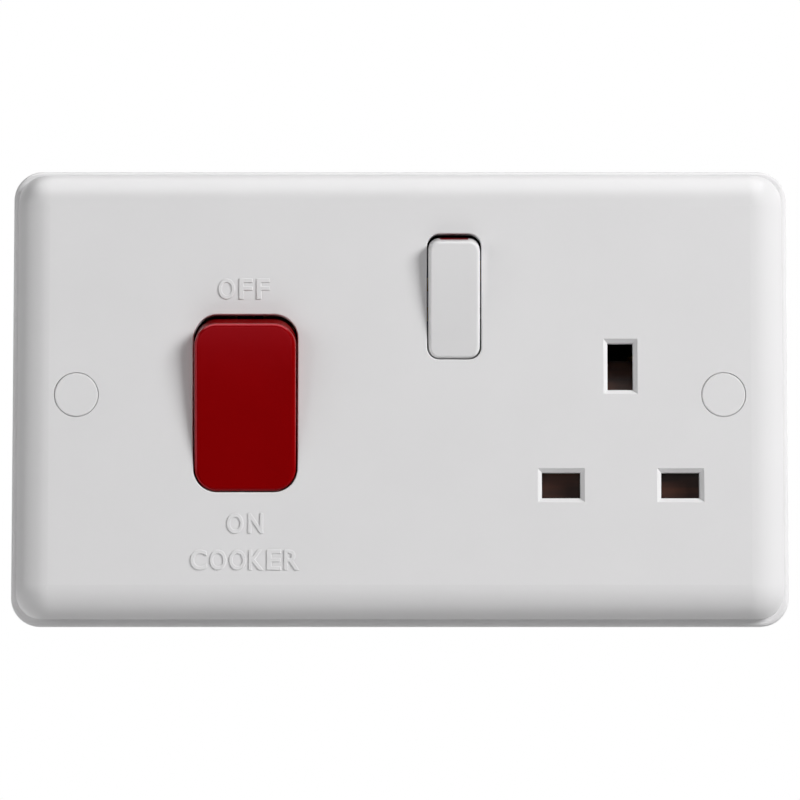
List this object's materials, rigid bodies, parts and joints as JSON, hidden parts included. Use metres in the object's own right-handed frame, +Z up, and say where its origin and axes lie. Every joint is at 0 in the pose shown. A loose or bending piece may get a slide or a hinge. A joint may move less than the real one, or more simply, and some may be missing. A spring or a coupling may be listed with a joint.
{
  "type": "cooker control unit",
  "caption": "Wall plate with a large red rocker for a cooker circuit, a small white rocker and a shuttered mains outlet, with its switch mechanisms and terminals behind.",
  "frame": {"origin": "centre of the plate on the wall surface, midway between the fixing screws", "axes": "+X to the right seen from the front, +Y into the wall, +Z up"},
  "size_m": [0.146, 0.0383, 0.086],
  "materials": {
    "white_moulding": "moulded, satin gloss",
    "red_moulding": "moulded, glossy",
    "grey_moulding": "moulded, fine matt",
    "dark_moulding": "moulded, matt",
    "nylon": "moulded",
    "brass": "rolled and machined",
    "copper": "rolled strip",
    "silver": "riveted contacts",
    "zinc_plated_steel": "bright zinc",
    "spring_steel": "drawn wire"
  },
  "bodies": {
    "unit": {"faceplate": "white_moulding", "rear_housing": "grey_moulding", "screw_cap_left": "white_moulding", "screw_cap_right": "white_moulding", "fixing_screws": "zinc_plated_steel", "housing_screws": "zinc_plated_steel", "shutter_retainer": "dark_moulding", "shutter_spring": "spring_steel", "fixed_contacts": "silver", "supply_live_terminal": "brass", "supply_neutral_terminal": "brass", "load_live_terminal": "brass", "load_neutral_terminal": "brass", "earth_terminal": "brass", "terminal_screws": "brass", "live_pin_contact": "brass", "neutral_pin_contact": "brass", "earth_pin_contact": "brass", "live_link": "brass", "neutral_link": "brass", "earth_strap": "brass"},
    "cooker_rocker": {"cooker_rocker": "red_moulding", "cooker_live_spring": "spring_steel", "cooker_neutral_spring": "spring_steel"},
    "cooker_live_plunger": {"cooker_live_plunger": "nylon"},
    "cooker_neutral_plunger": {"cooker_neutral_plunger": "nylon"},
    "cooker_live_arm": {"cooker_live_arm": "copper", "cooker_live_contact": "silver"},
    "cooker_neutral_arm": {"cooker_neutral_arm": "copper", "cooker_neutral_contact": "silver"},
    "socket_rocker": {"socket_rocker": "white_moulding", "socket_spring": "spring_steel"},
    "socket_plunger": {"socket_plunger": "nylon"},
    "socket_arm": {"socket_arm": "copper", "socket_contact": "silver"},
    "shutter": {"shutter": "dark_moulding"}
  },
  "joints": [
    {"name": "cooker_switch", "type": "hinge", "parent": "unit", "child": "cooker_rocker", "pos_m": [-0.0288, -0.004, -0.0016], "axis": [-1, 0, 0], "range_deg": [0, 14]},
    {"name": "cooker_live_arm_rock", "type": "hinge", "parent": "unit", "child": "cooker_live_arm", "pos_m": [-0.0343, 0.009, -0.0016], "axis": [1, 0, 0], "range_deg": [0, 14]},
    {"name": "cooker_neutral_arm_rock", "type": "hinge", "parent": "unit", "child": "cooker_neutral_arm", "pos_m": [-0.0233, 0.009, -0.0016], "axis": [1, 0, 0], "range_deg": [0, 14]},
    {"name": "cooker_live_plunger_slide", "type": "slide", "parent": "cooker_rocker", "child": "cooker_live_plunger", "axis": [0, -0.9925, -0.1219], "range_m": [0, 0.0012], "stiffness_N_per_m": 600, "springref_m": -0.002, "deforming": ["cooker_live_spring"]},
    {"name": "cooker_neutral_plunger_slide", "type": "slide", "parent": "cooker_rocker", "child": "cooker_neutral_plunger", "axis": [0, -0.9925, -0.1219], "range_m": [0, 0.0012], "stiffness_N_per_m": 600, "springref_m": -0.002, "deforming": ["cooker_neutral_spring"]},
    {"name": "socket_switch", "type": "hinge", "parent": "unit", "child": "socket_rocker", "pos_m": [0.0101, -0.005, 0.0184], "axis": [-1, 0, 0], "range_deg": [0, 14]},
    {"name": "socket_arm_rock", "type": "hinge", "parent": "unit", "child": "socket_arm", "pos_m": [0.0101, 0.009, 0.0184], "axis": [1, 0, 0], "range_deg": [0, 14]},
    {"name": "socket_plunger_slide", "type": "slide", "parent": "socket_rocker", "child": "socket_plunger", "axis": [0, -0.9925, -0.1219], "range_m": [0, 0.0012], "stiffness_N_per_m": 600, "springref_m": -0.002, "deforming": ["socket_spring"]},
    {"name": "shutter_slide", "type": "slide", "parent": "unit", "child": "shutter", "axis": [0, 0, -1], "range_m": [0, 0.006], "stiffness_N_per_m": 100, "springref_m": -0.004, "deforming": ["shutter_spring"]}
  ],
  "couplings": [
    {"joint": "cooker_live_arm_rock", "follows": "cooker_switch", "ratio": 1},
    {"joint": "cooker_neutral_arm_rock", "follows": "cooker_switch", "ratio": 1},
    {"joint": "socket_arm_rock", "follows": "socket_switch", "ratio": 1}
  ]
}
